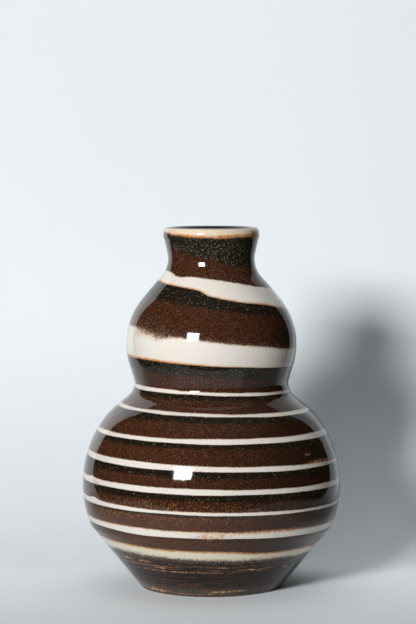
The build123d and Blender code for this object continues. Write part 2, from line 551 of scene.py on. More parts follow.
def cloud(tree, place, size, detail=2.0, roughness=0.5):
    """Soft noise with features of about this size in millimetres."""
    sockets = {"Vector": place, "Scale": 1.0 / size, "Detail": detail, "Roughness": roughness}
    return place_node(tree, "ShaderNodeTexNoise", sockets).outputs[0]


def start_finish(name):
    """A material that is ready for nodes, and its tree."""
    material = bpy.data.materials.new(name)
    material.use_nodes = True
    return material, material.node_tree


def start_group(name, inputs, outputs):
    """A shader node group with named sockets, and its two end nodes."""
    group = bpy.data.node_groups.new(name, "ShaderNodeTree")
    for socket, kind in inputs.items():
        group.interface.new_socket(socket, in_out="INPUT", socket_type=kind)
    for socket, kind in outputs.items():
        group.interface.new_socket(socket, in_out="OUTPUT", socket_type=kind)
    return group, group.nodes.new("NodeGroupInput").outputs, group.nodes.new("NodeGroupOutput").inputs


VALUE = "NodeSocketFloat"
VECTOR = "NodeSocketVector"
COLOUR = "NodeSocketColor"
print("node helpers ready")

# %% [markdown]
# ## Specks
# Iron and ash grains in the clay melt into tiny pale or dark spots under the glaze. A Voronoi texture
# scatters points through space, and each point that is picked becomes a spot where the surface passes close
# to it.

# %% Group: specks
SMALLEST_SPOT = 0.3              # shares of the spacing
SPOT_SPREAD = 0.25
SPOT_HEART = 0.4                 # share of a spot that is at full strength
DIMMEST_SPOT = 0.4
specks, given, wanted = start_group(
    "Specks", {"Place": VECTOR, "Spacing": VALUE, "Cover": VALUE}, {"Mask": VALUE}
)
density = work_out(specks, "DIVIDE", 1.0, given["Spacing"])
scatter = place_node(specks, "ShaderNodeTexVoronoi", {"Vector": given["Place"], "Scale": density})
shades = place_node(specks, "ShaderNodeSeparateColor", {0: scatter.outputs["Color"]})
picked = work_out(specks, "LESS_THAN", shades.outputs[0], given["Cover"])
spot_edge = work_out(specks, "MULTIPLY_ADD", shades.outputs[1], SPOT_SPREAD, SMALLEST_SPOT)
spot_heart = times(specks, spot_edge, SPOT_HEART)
spot = ramp_between(specks, scatter.outputs["Distance"], spot_edge, spot_heart)
brightness = work_out(specks, "MULTIPLY_ADD", shades.outputs[2], 1 - DIMMEST_SPOT, DIMMEST_SPOT)
dimmed = times(specks, spot, brightness)
specks.links.new(times(specks, dimmed, picked), wanted["Mask"])
print("group:", specks.name)


def use_group(tree, group, **sockets):
    """Places a node group with its own values."""
    return place_node(tree, "ShaderNodeGroup", sockets, node_tree=group).outputs


def speckle(tree, place, spacing, cover):
    """Spots about as wide as half their spacing, over a share of the surface."""
    return use_group(tree, specks, Place=place, Spacing=spacing, Cover=cover)["Mask"]


# %% [markdown]
# ## The clays
# White is a cream with faint warm clouds, greyer on the belly, yellower above the foot and peach at the
# lip. Brown is a deep reddish chocolate with darker and lighter grains, and fiery ones low on the belly. It
# is paler on the hip, and it is painted darker towards the pot's right side, as painted shade where the
# softbox's light falls off. Black is almost without colour and full of pale greenish specks, which give it
# its dusty look. They are thickest at the neck, fewer on the shoulder, and none lie right under the lip, so
# that a dark band there is painted shade under the lip's overhang. On the hip it is browner.

# %% Group: white clay
CREAM = (0.685, 0.650, 0.598, 1)
BELLY_CREAM = (0.615, 0.580, 0.530, 1)
WARM_CREAM = (0.685, 0.623, 0.540, 1)
LIP_PEACH = (0.68, 0.548, 0.42, 1)
KNEE_CREAM = (0.67, 0.605, 0.465, 1)
CREAM_CHANGES = (         # heights between which another cream comes in, and how much of it
    (108.0, 95.0, 0.8, BELLY_CREAM),
    (174.0, 181.0, 0.85, LIP_PEACH),
    (31.0, 27.0, 0.9, KNEE_CREAM),
)
IRON_FLECK = (0.34, 0.20, 0.10, 1)
white_clay, given, wanted = start_group("White clay", {"Place": VECTOR}, {"Color": COLOUR})
clouds = cloud(white_clay, given["Place"], size=14.0, detail=3.0)
warmth = ramp_between(white_clay, clouds, 0.42, 0.75)
cream = mix_colours(white_clay, warmth, CREAM, WARM_CREAM)
up = sides_of(white_clay, given["Place"])[2]
for start, end, share, colour in CREAM_CHANGES:
    cream = mix_colours(white_clay, ramp_between(white_clay, up, start, end, share), cream, colour)
flecks = speckle(white_clay, given["Place"], spacing=0.8, cover=0.012)
white_clay.links.new(mix_colours(white_clay, flecks, cream, IRON_FLECK), wanted["Color"])
print("group:", white_clay.name)

# %% Group: brown clay
CHOCOLATE = (0.022, 0.0073, 0.0034, 1)
RED_CHOCOLATE = (0.065, 0.0233, 0.0110, 1)
DARK_GRAIN = (0.012, 0.0055, 0.0030, 1)
OCHRE_GRAIN = (0.165, 0.083, 0.049, 1)
FIERY_GRAIN = (0.29, 0.135, 0.055, 1)
HIP_BROWN = (0.095, 0.037, 0.019, 1)
# painted shade: the brown is darkened towards the pot's right side, where the softbox's light falls off
BROWN_PAINTED_SHADE = (0.012, 0.0055, 0.0030, 1)
HIP_TOP = (48.0, 44.0)           # heights between which the hip's brown comes in
HIP_SHARE = 0.38
NECK_RISE = (140.0, 168.0)       # heights between which the ochre grains get more
GRAIN_COVER = 0.40
NECK_COVER = 0.35
FIERY_BAND = (41.0, 45.0, 49.0, 53.0)
WAIST_RANGE = (112.0, 100.0)     # the painted shade comes further round to the front below the waist
PAINTED_SHADE_START = 8.0
PAINTED_SHADE_MOVE = -28.0
PAINTED_SHADE_END = 54.0
PAINTED_SHADE_SHARE = 0.78
brown_clay, given, wanted = start_group("Brown clay", {"Place": VECTOR}, {"Color": COLOUR})
clouds = cloud(brown_clay, given["Place"], size=1.0, detail=3.0, roughness=0.75)
redness = ramp_between(brown_clay, clouds, 0.32, 0.68)
chocolate = mix_colours(brown_clay, redness, CHOCOLATE, RED_CHOCOLATE)
dark_grains = speckle(brown_clay, given["Place"], spacing=0.7, cover=0.35)
darkened = mix_colours(brown_clay, dark_grains, chocolate, DARK_GRAIN)
brown_sides = sides_of(brown_clay, given["Place"])
right = brown_sides[0]
up = brown_sides[2]
on_hip = ramp_between(brown_clay, up, *HIP_TOP, HIP_SHARE)
darkened = mix_colours(brown_clay, on_hip, darkened, HIP_BROWN)
grain_cover = work_out(brown_clay, "ADD", ramp_between(brown_clay, up, *NECK_RISE, NECK_COVER), GRAIN_COVER)
grains = speckle(brown_clay, given["Place"], spacing=0.72, cover=grain_cover)
grained = mix_colours(brown_clay, grains, darkened, OCHRE_GRAIN)
fiery = speckle(brown_clay, given["Place"], spacing=0.85, cover=band_between(brown_clay, up, FIERY_BAND))
grained = mix_colours(brown_clay, fiery, grained, FIERY_GRAIN)
# painted shade: the brown darkens towards the right, starting further to the front below the waist
painted_shade_move = ramp_between(brown_clay, up, *WAIST_RANGE, PAINTED_SHADE_MOVE)
painted_shade_start = work_out(brown_clay, "ADD", painted_shade_move, PAINTED_SHADE_START)
right_painted_shade = ramp_between(brown_clay, right, painted_shade_start, PAINTED_SHADE_END, PAINTED_SHADE_SHARE)
brown_clay.links.new(mix_colours(brown_clay, right_painted_shade, grained, BROWN_PAINTED_SHADE), wanted["Color"])
print("group:", brown_clay.name)

# %% Group: black clay
BLACK = (0.0092, 0.0062, 0.0032, 1)
DUSTY_BLACK = (0.0140, 0.0118, 0.0076, 1)
GREY_GRAIN = (0.285, 0.270, 0.205, 1)
OLIVE_GRAIN = (0.055, 0.044, 0.021, 1)
HIP_BLACK = (0.045, 0.021, 0.0115, 1)
SHOULDER_BAND = (138.0, 143.0, 156.0, 161.0)
HIP_BAND = (22.0, 27.0, 44.0, 48.0)
FOOT_BAND = (12.0, 18.0, 20.0, 25.0)
GROUND_RISE = (85.0, 165.0)      # heights between which the ground gets dusty
WAIST_RISE = (85.0, 130.0)       # heights between which the dust gets thicker
NECK_DUST_RISE = (157.0, 172.0)
UNDER_LIP_PAINTED_SHADE = (178.2, 177.2)       # heights between which the dust begins, under the lip; the dust-free band above them is painted shade
black_clay, given, wanted = start_group("Black clay", {"Place": VECTOR}, {"Color": COLOUR})
up = sides_of(black_clay, given["Place"])[2]
on_shoulder = band_between(black_clay, up, SHOULDER_BAND)
off_shoulder = work_out(black_clay, "MULTIPLY_ADD", on_shoulder, -0.85, 1.0)
dusty_share = times(black_clay, ramp_between(black_clay, up, *GROUND_RISE), off_shoulder)
ground = mix_colours(black_clay, dusty_share, BLACK, DUSTY_BLACK)
olive_cover = work_out(black_clay, "MULTIPLY_ADD", on_shoulder, -0.22, 0.55)
olive_grains = speckle(black_clay, given["Place"], spacing=0.65, cover=olive_cover)
olive = mix_colours(black_clay, olive_grains, ground, OLIVE_GRAIN)
olive = mix_colours(black_clay, band_between(black_clay, up, HIP_BAND, 0.6), olive, HIP_BLACK)
dust_cover = work_out(black_clay, "MULTIPLY_ADD", on_shoulder, -0.08, 0.09)
above_waist = ramp_between(black_clay, up, *WAIST_RISE, 0.11)
at_neck = ramp_between(black_clay, up, *NECK_DUST_RISE, 0.25)
above_foot = band_between(black_clay, up, FOOT_BAND, 0.10)
for more in (above_waist, at_neck, above_foot):
    dust_cover = work_out(black_clay, "ADD", dust_cover, more)
# painted shade: no dust right under the lip, so a dark band stands for the shadow under its overhang
dust_cover = times(black_clay, dust_cover, ramp_between(black_clay, up, *UNDER_LIP_PAINTED_SHADE))
dust = speckle(black_clay, given["Place"], spacing=0.58, cover=dust_cover)
black_clay.links.new(mix_colours(black_clay, dust, olive, GREY_GRAIN), wanted["Color"])
print("group:", black_clay.name)

# %% [markdown]
# ## Clay under the turning tool
# Above the foot a tool has dragged the clays round the pot, so they are a dark mixture with thin streaks in
# place of clean layers. Stretching noise along the circle does that: the direction from the axis changes
# slowly round the pot and the height changes quickly. Where the dragged clay was white, it is left as
# broken tan lines. The heel is sooty, and the clay turns paler grey towards the foot.

# %% Group: turning streaks
ROUND_STRETCH = 3.2              # noise features in one radian round the pot
streaks, given, wanted = start_group("Turning streaks", {"Place": VECTOR}, {"Mask": VALUE})
flat = work_out_vector(streaks, "MULTIPLY", given["Place"], (1, 1, 0))
outward = work_out_vector(streaks, "NORMALIZE", flat)
slow = work_out_vector(streaks, "MULTIPLY", outward, (ROUND_STRETCH, ROUND_STRETCH, 0))
upright = work_out_vector(streaks, "MULTIPLY", given["Place"], (0, 0, 1))
dragged = work_out_vector(streaks, "ADD", slow, upright)
streaks.links.new(cloud(streaks, dragged, size=1.0, detail=3.0, roughness=0.6), wanted["Mask"])
print("group:", streaks.name)

# %% Groups: turned and dragged clay
DRAGGED_TAN = (0.45, 0.28, 0.15, 1)
SOOT = (0.006, 0.0045, 0.0035, 1)
FOOT_GREY = (0.088, 0.070, 0.060, 1)
SOOT_BAND = (7.0, 10.0, 13.0, 17.0)
PALER_TO_FOOT_RANGE = (7.0, 3.0)
turned_clay, given, wanted = start_group("Turned clay", {"Place": VECTOR}, {"Color": COLOUR})
streak = use_group(turned_clay, streaks, Place=given["Place"])["Mask"]
brown_share = ramp_between(turned_clay, streak, 0.45, 0.57, 0.9)
dark_part = use_group(turned_clay, black_clay, Place=given["Place"])["Color"]
brown_part = use_group(turned_clay, brown_clay, Place=given["Place"])["Color"]
turned_mixture = mix_colours(turned_clay, brown_share, dark_part, brown_part)
up = sides_of(turned_clay, given["Place"])[2]
sooty = band_between(turned_clay, up, SOOT_BAND, 0.45)
turned_mixture = mix_colours(turned_clay, sooty, turned_mixture, SOOT)
# the clay turns paler grey towards the foot
paler_to_foot = ramp_between(turned_clay, up, *PALER_TO_FOOT_RANGE, 0.5)
turned_clay.links.new(mix_colours(turned_clay, paler_to_foot, turned_mixture, FOOT_GREY), wanted["Color"])

dragged_clay, given, wanted = start_group("Dragged clay", {"Place": VECTOR}, {"Color": COLOUR})
streak = use_group(dragged_clay, streaks, Place=given["Place"])["Mask"]
turned_part = use_group(dragged_clay, turned_clay, Place=given["Place"])["Color"]
breaks = cloud(dragged_clay, given["Place"], size=3.5, detail=3.0, roughness=0.65)
broken = ramp_between(dragged_clay, breaks, 0.42, 0.56)
tan_share = times(dragged_clay, ramp_between(dragged_clay, streak, 0.55, 0.66), broken)
dragged_clay.links.new(mix_colours(dragged_clay, tan_share, turned_part, DRAGGED_TAN), wanted["Color"])
print("groups:", turned_clay.name, "and", dragged_clay.name)

# %% [markdown]
# ## Edges, rust and dust
# The edge group turns a distance from a face into a mask that is 1 where the upper clay shows. Noise of two
# sizes shifts the distance, so a small fuzz gives a slightly ragged line and a large one breaks up into
# crumbs. The bleeding group works on the white's edges. Into the white it draws rust, dark along the line
# itself and thin orange beyond it. Out of the white, at a fuzzy edge, it strews pale dust that gets sparser
# with the distance.

# %% Group: edge
CRUMB_STRENGTH = 3.6
LEAST_SOFTNESS = 0.10            # in millimetres
edge, given, wanted = start_group(
    "Edge", {"Place": VECTOR, "Distance": VALUE, "Fuzz": VALUE}, {"Upper": VALUE, "Ragged": VALUE}
)
crumbs = work_out(edge, "SUBTRACT", cloud(edge, given["Place"], size=0.5, roughness=0.7), 0.5)
waves = work_out(edge, "SUBTRACT", cloud(edge, given["Place"], size=4.0), 0.5)
shift = work_out(edge, "MULTIPLY_ADD", crumbs, CRUMB_STRENGTH, waves)
ragged = work_out(edge, "MULTIPLY_ADD", shift, given["Fuzz"], given["Distance"])
softness = work_out(edge, "MULTIPLY_ADD", given["Fuzz"], 0.5, LEAST_SOFTNESS)
hardness = times(edge, softness, -1.0)
edge.links.new(ramp_between(edge, ragged, hardness, softness), wanted["Upper"])
edge.links.new(ragged, wanted["Ragged"])
print("group:", edge.name)

# %% Group: bleeding
LINE_WIDTH = (0.75, 0.35)        # millimetres for each unit of rust, and for none
HEART_WIDTH = (0.3, 0.1)
RUST_FOOT = (-0.35, -0.2)        # how far out of the white the rust begins
HALO_WIDTH = 2.0                 # in widths of the line
HALO_SHARE = 0.6
LEAST_RUST = 0.4                 # share of the rust between its patches
DUST_REACH = -4.2                # in fuzzes, out of the white
bleeding, given, wanted = start_group(
    "Bleeding",
    {"Place": VECTOR, "Into White": VALUE, "Fuzz": VALUE, "Rust": VALUE},
    {"Rust Line": VALUE, "Rust Halo": VALUE, "Dust": VALUE},
)
rust_foot = work_out(bleeding, "MULTIPLY_ADD", given["Rust"], *RUST_FOOT)
reached = ramp_between(bleeding, given["Into White"], rust_foot, 0.0)
clouds = cloud(bleeding, given["Place"], size=3.0, detail=3.0, roughness=0.6)
patches = ramp_between(bleeding, clouds, 0.30, 0.62)
patchy = work_out(bleeding, "MULTIPLY_ADD", patches, 1 - LEAST_RUST, LEAST_RUST)
depth_of_rust = work_out(bleeding, "MINIMUM", times(bleeding, given["Rust"], 1.3), 1.0)
strength = times(bleeding, times(bleeding, reached, patchy), depth_of_rust)
line_end = work_out(bleeding, "MULTIPLY_ADD", given["Rust"], *LINE_WIDTH)
line_heart = work_out(bleeding, "MULTIPLY_ADD", given["Rust"], *HEART_WIDTH)
halo_end = times(bleeding, line_end, HALO_WIDTH)
line = ramp_between(bleeding, given["Into White"], line_end, line_heart)
halo = ramp_between(bleeding, given["Into White"], halo_end, line_heart, HALO_SHARE)
bleeding.links.new(times(bleeding, line, strength), wanted["Rust Line"])
bleeding.links.new(times(bleeding, halo, strength), wanted["Rust Halo"])
dust_reach = times(bleeding, given["Fuzz"], DUST_REACH)
near_white = ramp_between(bleeding, given["Into White"], dust_reach, 0.0)
beyond_white = ramp_between(bleeding, given["Into White"], 0.3, -0.2)
dusty = times(bleeding, ramp_between(bleeding, given["Fuzz"], 0.6, 0.85), near_white)
dust = speckle(bleeding, given["Place"], spacing=0.55, cover=dusty)
bleeding.links.new(times(bleeding, dust, beyond_white), wanted["Dust"])
print("group:", bleeding.name)

# %% [markdown]
# ## Glaze
# The glaze is a smooth clear skin with a slight ripple, so its reflections have living edges. The bare clay
# under the foot has no glaze and is rough with pores.

# %% Group: glaze skin
PORE_DEPTH = 4.0                 # in heights of the ripple
SMOOTHEST = 0.035
GLOSS_SPREAD = 0.05
BARE_ROUGHNESS = 0.85
glaze, given, wanted = start_group(
    "Glaze skin", {"Place": VECTOR, "Bare": VALUE}, {"Height": VALUE, "Roughness": VALUE}
)
ripple = cloud(glaze, given["Place"], size=7.0)
pores = times(glaze, cloud(glaze, given["Place"], size=0.7, detail=3.0), given["Bare"])
glaze.links.new(work_out(glaze, "MULTIPLY_ADD", pores, PORE_DEPTH, ripple), wanted["Height"])
clouds = cloud(glaze, given["Place"], size=9.0, detail=3.0)
gloss = work_out(glaze, "MULTIPLY_ADD", clouds, GLOSS_SPREAD, SMOOTHEST)
bare_roughness = times(glaze, given["Bare"], BARE_ROUGHNESS)
glaze.links.new(work_out(glaze, "MAXIMUM", gloss, bare_roughness), wanted["Roughness"])
print("group:", glaze.name)

# %% [markdown]
# ## One recipe for every ring
# A ring shows its own clay, the clay under it where that creeps up, and the clay over it where that creeps
# down. Then come the rust along both faces and the smears. The inside of the pot has a dark liner glaze,
# which is why the mouth looks black, and the foot's underside is bare. The recipe reads three marks on the
# mesh: the lower face, the upper face, and the finish.

# %% Put a clay together
RUST = (0.39, 0.145, 0.036, 1)
THIN_RUST = (0.73, 0.44, 0.20, 1)
SMEARED_CREAM = (0.58, 0.44, 0.31, 1)
DUST = (0.30, 0.22, 0.165, 1)
LINER = (0.010, 0.008, 0.006, 1)
BARE_CLAY = (0.105, 0.052, 0.030, 1)
GLASS_IOR = 1.52
RIPPLE_STRENGTH = 0.12
RIPPLE_HEIGHT = 0.0004


def clay_finish(name, own, under, over, white_sides, shine):
    """The material of a ring: its own clay between two neighbours, under clear glaze.

    For the lower and the upper face, white_sides is 1 if white lies over it, -1 if under it, and 0 for none.
    """
    material, tree = start_finish(name)
    shader = tree.nodes["Principled BSDF"]
    object_place = place_node(tree, "ShaderNodeTexCoord").outputs["Object"]
    scaled = place_node(tree, "ShaderNodeVectorMath", {0: object_place, 3: 1 / MM}, operation="SCALE")
    place = scaled.outputs[0]

    def mark(attribute):
        read = place_node(tree, "ShaderNodeAttribute", attribute_name=attribute)
        return sides_of(tree, read.outputs["Vector"])

    lower = mark("lower_face")
    upper = mark("upper_face")
    finish = mark("finish")
    own_colour = use_group(tree, own, Place=place)["Color"]
    lower_edge = use_group(tree, edge, Place=place, Distance=lower[0], Fuzz=lower[1])
    upper_edge = use_group(tree, edge, Place=place, Distance=upper[0], Fuzz=upper[1])
    colour = mix_colours(tree, lower_edge["Upper"], use_group(tree, under, Place=place)["Color"], own_colour)
    colour = mix_colours(tree, upper_edge["Upper"], colour, use_group(tree, over, Place=place)["Color"])
    crumbs = cloud(tree, place, size=1.0, detail=3.0, roughness=0.65)
    large_crumbs = cloud(tree, place, size=1.7, detail=3.0, roughness=0.65)
    crumbling = ramp_between(tree, crumbs, 0.36, 0.58)
    pale_crumbs = ramp_between(tree, large_crumbs, 0.48, 0.60)
    smear_colour = mix_colours(tree, pale_crumbs, RUST, SMEARED_CREAM)
    colour = mix_colours(tree, times(tree, finish[2], crumbling), colour, smear_colour)
    for face, face_edge, side in ((lower, lower_edge, white_sides[0]), (upper, upper_edge, white_sides[1])):
        if side:
            into_white = times(tree, face_edge["Ragged"], float(side))
            sockets = {"Place": place, "Into White": into_white, "Fuzz": face[1], "Rust": face[2]}
            bled = use_group(tree, bleeding, **sockets)
            colour = mix_colours(tree, bled["Dust"], colour, DUST)
            colour = mix_colours(tree, bled["Rust Halo"], colour, THIN_RUST)
            colour = mix_colours(tree, bled["Rust Line"], colour, RUST)
    colour = mix_colours(tree, finish[0], colour, LINER)
    colour = mix_colours(tree, finish[1], colour, BARE_CLAY)
    tree.links.new(colour, shader.inputs["Base Color"])
    skin = use_group(tree, glaze, Place=place, Bare=finish[1])
    tree.links.new(skin["Roughness"], shader.inputs["Roughness"])
    ripple = {"Height": skin["Height"], "Strength": RIPPLE_STRENGTH, "Distance": RIPPLE_HEIGHT}
    tree.links.new(place_node(tree, "ShaderNodeBump", ripple).outputs[0], shader.inputs["Normal"])
    shader.inputs["IOR"].default_value = GLASS_IOR
    shader.inputs["Specular IOR Level"].default_value = shine
    return material


# %% Mix the finishes
PLAIN_SHINE = 0.5
TURNED_SHINE = 0.26              # the glaze is thinner and duller over the turned clay and on the hip
HIP_SHINE = 0.33
FINISHES = {              # own clay, clays under and over it, where white lies at its two faces, and shine
    "white_clay": (white_clay, black_clay, brown_clay, (1, -1), PLAIN_SHINE),
    "black_clay": (black_clay, brown_clay, white_clay, (0, 1), PLAIN_SHINE),
    "brown_clay": (brown_clay, white_clay, black_clay, (-1, 0), PLAIN_SHINE),
    "hip_black": (black_clay, brown_clay, white_clay, (0, 1), HIP_SHINE),
    "hip_brown": (brown_clay, white_clay, black_clay, (-1, 0), HIP_SHINE),
    "knee_clay": (turned_clay, turned_clay, white_clay, (0, 1), TURNED_SHINE),
    "foot_clay": (turned_clay, turned_clay, dragged_clay, (0, 0), TURNED_SHINE),
    "turned_clay": (turned_clay, turned_clay, turned_clay, (0, 0), TURNED_SHINE),
    "dragged_clay": (dragged_clay, turned_clay, turned_clay, (0, 0), TURNED_SHINE),
}
finishes = {name: clay_finish(f"{name}_glazed", *parts) for name, parts in FINISHES.items()}
print("finishes:", list(finishes))

# %% [markdown]
# ## Slicing the wall
# Working up from the foot, a plane cuts the next layer off the wall, as a wire would. The cut is filled so
# that every ring is a closed solid. Each point is marked with its distance to the face under it and the
# face over it, with the fuzz and rust of those faces, and with its finish.

# %% Cut the rings
SPECIAL_FINISHES = {
    "foot_base": "foot_clay",
    "foot_white": "dragged_clay",
    "heel_brown": "turned_clay",
    "heel_black": "turned_clay",
    "heel_white": "dragged_clay",
    "knee_brown": "dragged_clay",
    "knee_black": "knee_clay",
    "hip_brown": "hip_brown",
    "hip_black": "hip_black",
    "low_belly_brown": "hip_brown",
    "low_belly_black": "hip_black",
}
FAR = 50.0                # a distance at which no edge shows, in millimetres
SHARP = math.radians(38)
ON_PLANE = 1e-6           # an edge this near to a cut's plane, in metres, lies on it
CUT_REACH = 1e-7          # a point this near to the plane isn't cut again


def face_normal(slope):
    """The upward direction square to a leaning face."""
    return Vector((slope, 0, 1)).normalized()


def distance_above(point, number):
    """How far a point lies over a face between layers, in millimetres."""
    level, slope = faces_between[number]
    flat_distance = (point - Vector((0, 0, level * MM))).dot(face_normal(slope)) / MM
    return flat_distance - wander(number, front_angle(point))


def all_of(shape):
    """All points, edges and faces of a bmesh."""
    return shape.verts[:] + shape.edges[:] + shape.faces[:]


def fill_cut(ring, level, slope):
    """Closes a cut with a flat face."""
    on_cut = []
    for side in ring.edges:
        middle = (side.verts[0].co + side.verts[1].co) / 2
        height_over = (middle - Vector((0, 0, level * MM))).dot(face_normal(slope))
        if side.is_boundary and abs(height_over) < ON_PLANE:
            on_cut.append(side)
    bmesh.ops.triangle_fill(ring, use_beauty=True, edges=on_cut, normal=face_normal(slope))


def mark_ring(ring, number):
    """Writes the ring's marks for the finish recipe."""
    lower_mark = ring.verts.layers.float_vector.new("lower_face")
    upper_mark = ring.verts.layers.float_vector.new("upper_face")
    finish_mark = ring.verts.layers.float_vector.new("finish")
    inside = ring.verts.layers.float["inside"]
    bare = ring.verts.layers.float["bare"]
    for point in ring.verts:
        angle = front_angle(point.co)
        lower = (FAR, 0, 0)
        upper = (-FAR, 0, 0)
        if number > 0:
            lower = (distance_above(point.co, number - 1), *meeting(layer_names[number - 1], angle))
        if number < len(faces_between):
            upper = (distance_above(point.co, number), *meeting(layer_names[number], angle))
        point[lower_mark] = lower
        point[upper_mark] = upper
        smear = smear_at(angle, point.co.z / MM)
        point[finish_mark] = (point[inside], point[bare], smear)


def make_ring(ring, name):
    """Turns a cut ring into a piece that stands for its solid."""
    bmesh.ops.recalc_face_normals(ring, faces=ring.faces[:])
    for face in ring.faces:
        face.smooth = True
    mesh = bpy.data.meshes.new(name)
    ring.to_mesh(mesh)
    mesh.set_sharp_from_angle(angle=SHARP)
    piece = bpy.data.objects.new(f"{name}_ring", mesh)
    scene.collection.objects.link(piece)
    clay = name.split("_")[-1].replace("base", "brown")
    mesh.materials.append(finishes[SPECIAL_FINISHES.get(name, f"{clay}_clay")])
    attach(piece, "root")
    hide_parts(name)
    return piece


rings = []
for number, name in enumerate(layer_names):
    ring = wall.copy()
    if number < len(faces_between):
        level, slope = faces_between[number]
        cut = {"plane_co": (0, 0, level * MM), "plane_no": face_normal(slope), "dist": CUT_REACH}
        bmesh.ops.bisect_plane(ring, geom=all_of(ring), clear_outer=True, **cut)
        bmesh.ops.bisect_plane(wall, geom=all_of(wall), clear_inner=True, **cut)
        fill_cut(ring, level, slope)
    if number > 0:
        fill_cut(ring, *faces_between[number - 1])
    mark_ring(ring, number)
    rings.append(make_ring(ring, name))
    ring.free()
wall.free()
print("rings cut:", len(rings), "with", sum(len(piece.data.polygons) for piece in rings), "faces")

# %% [markdown]
# ## The studio
# The vase stood on a small sheet of white paper that curves up behind it, in a dark room, with one softbox
# at the front left. The glaze shows all of that: a small bright rectangle, pale strips at both sides where
# the paper ends, and a dark middle. The paper is a line drawn from the side, curved with a spin and pulled
# across. It is clear from behind, so that it hides nothing when the vase is looked at from the back. Its
# colour holds painted light and shade: it is painted paler towards the right and whitest at the far left,
# and painted greyer as shade where the set around it kept the light off: at the ends of its lying part, in
# the bend, at the front and on the right.

# %% Curve the paper
def put_in_scene(shape, name):
    """Makes an object of a finished bmesh."""
    mesh = bpy.data.meshes.new(name)
    shape.to_mesh(mesh)
    shape.free()
    made = bpy.data.objects.new(name, mesh)
    scene.collection.objects.link(made)
    return made


PAPER_HALF_WIDTH = 0.285
PAPER_FRONT = -0.192
PAPER_BACK = 0.212
PAPER_CURVE = 0.160
PAPER_TOP = 0.75
BEND_STEPS = 32
LYING_FLAT = 0.9                 # a face whose normal's z is beyond this lies flat
paper_shape = bmesh.new()
front_point = paper_shape.verts.new((-PAPER_HALF_WIDTH, PAPER_FRONT, 0))
bend_point = paper_shape.verts.new((-PAPER_HALF_WIDTH, PAPER_BACK - PAPER_CURVE, 0))
paper_shape.edges.new((front_point, bend_point))
bend = bmesh.ops.spin(
    paper_shape,
    geom=[bend_point],
    cent=(-PAPER_HALF_WIDTH, PAPER_BACK - PAPER_CURVE, PAPER_CURVE),
    axis=(1, 0, 0),
    angle=math.radians(90),
    steps=BEND_STEPS,
)
bend_end = [item for item in bend["geom_last"] if isinstance(item, bmesh.types.BMVert)]
rise = bmesh.ops.extrude_vert_indiv(paper_shape, verts=bend_end)
bmesh.ops.translate(paper_shape, verts=rise["verts"], vec=(0, 0, PAPER_TOP - PAPER_CURVE))
pulled = bmesh.ops.extrude_edge_only(paper_shape, edges=paper_shape.edges[:])
pulled_points = [item for item in pulled["geom"] if isinstance(item, bmesh.types.BMVert)]
bmesh.ops.translate(paper_shape, verts=pulled_points, vec=(2 * PAPER_HALF_WIDTH, 0, 0))
bmesh.ops.recalc_face_normals(paper_shape, faces=paper_shape.faces[:])
for face in paper_shape.faces:
    face.smooth = True
lying_faces = [face for face in paper_shape.faces if abs(face.normal.z) > LYING_FLAT]
if lying_faces[0].normal.z < 0:
    bmesh.ops.reverse_faces(paper_shape, faces=paper_shape.faces[:])
paper = put_in_scene(paper_shape, "paper")
print("paper faces:", len(paper.data.polygons))

# %% Whiten the paper
# painted light: the paper goes paler from PAPER_LEFT to PAPER_RIGHT against the softbox's falloff, and is
# whitest at the far left
PAPER_LEFT = (0.757, 0.797, 0.828, 1)
PAPER_RIGHT = (0.82, 0.861, 0.893, 1)
PAPER_FAR_LEFT_PAINTED_LIGHT = (0.97, 0.98, 0.985, 1)
PAPER_SHADED = (0.28, 0.30, 0.31, 1)
LEFT_TO_RIGHT = (-0.13, 0.13)    # places on the set, in metres, between which the paper changes
FAR_LEFT = (-0.13, -0.16)
FAR_LEFT_RISE = (0.06, 0.10)
LEFT_END = (-0.12, -0.19)
RIGHT_END = (0.105, 0.15)
LYING = (0.03, 0.0)
BEND_RISE = (0.155, 0.02)
BEND_DEPTH = (0.03, 0.10)
BEND_LEFT = (0.10, 0.03)
TO_FRONT = (0.03, -0.16)
TO_RIGHT = (0.135, 0.22)
BEND_SHADE = 0.25                # shares of the shaded colour in the bend, at the front and on the right
FRONT_SHADE = 0.40
RIGHT_SHADE = 0.6
PAPER_ROUGHNESS = 0.9
PAPER_SHINE = 0.1
paper_finish, paper_tree = start_finish("white_paper")
paper_shader = paper_tree.nodes["Principled BSDF"]
paper_place = place_node(paper_tree, "ShaderNodeTexCoord").outputs["Object"]
paper_sides = dict(zip("xyz", sides_of(paper_tree, paper_place)))


def across_paper(side, between, top=1.0):
    """A smooth rise along one side of the set, between two places."""
    return ramp_between(paper_tree, paper_sides[side], *between, top)


# painted light: paler towards the right and whitest at the far left
paper_white = mix_colours(paper_tree, across_paper("x", LEFT_TO_RIGHT), PAPER_LEFT, PAPER_RIGHT)
far_left_painted_light = times(paper_tree, across_paper("x", FAR_LEFT), across_paper("z", FAR_LEFT_RISE))
paper_white = mix_colours(paper_tree, far_left_painted_light, paper_white, PAPER_FAR_LEFT_PAINTED_LIGHT)
